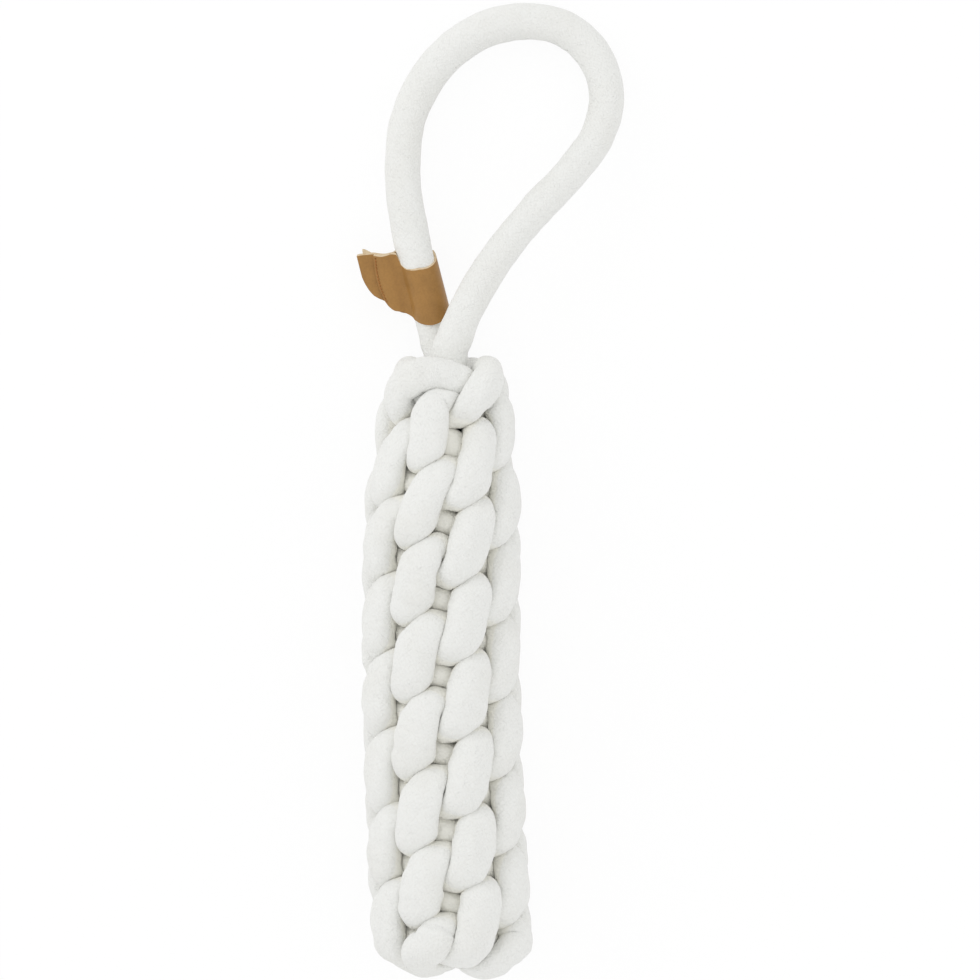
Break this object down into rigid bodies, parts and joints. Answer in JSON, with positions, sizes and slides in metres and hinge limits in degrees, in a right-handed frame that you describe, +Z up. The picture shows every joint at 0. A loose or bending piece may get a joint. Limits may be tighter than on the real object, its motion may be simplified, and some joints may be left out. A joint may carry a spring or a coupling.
{
  "type": "rope dog toy",
  "caption": "Cotton rope dog toy: a thick round braided body with a loop handle of the same rope and a folded leather tag that turns round one leg of the loop",
  "frame": {"origin": "the middle of the toy's outline on the table it lies on", "axes": "+Y runs along the toy from the foot of the braid to the loop, +X is to its right seen from above, +Z is up from the table"},
  "size_m": [0.0862, 0.313, 0.0486],
  "materials": {
    "cotton_rope": "knitted cotton sheath, undyed",
    "tan_leather": "smooth vegetable tanned, pale raw edges",
    "tag_thread": "waxed thread"
  },
  "bodies": {
    "rope": {"braid_rope_a": "cotton_rope", "braid_rope_b": "cotton_rope", "handle_rope": "cotton_rope"},
    "tag": {"leather_tag": "tan_leather", "tag_thread": "tag_thread"}
  },
  "joints": [
    {"name": "tag_swivel", "type": "hinge", "parent": "rope", "child": "tag", "pos_m": [-0.02148, 0.06565, 0.01153], "axis": [-0.2495, 0.967, -0.052], "range_deg": [-180, 85]}
  ]
}
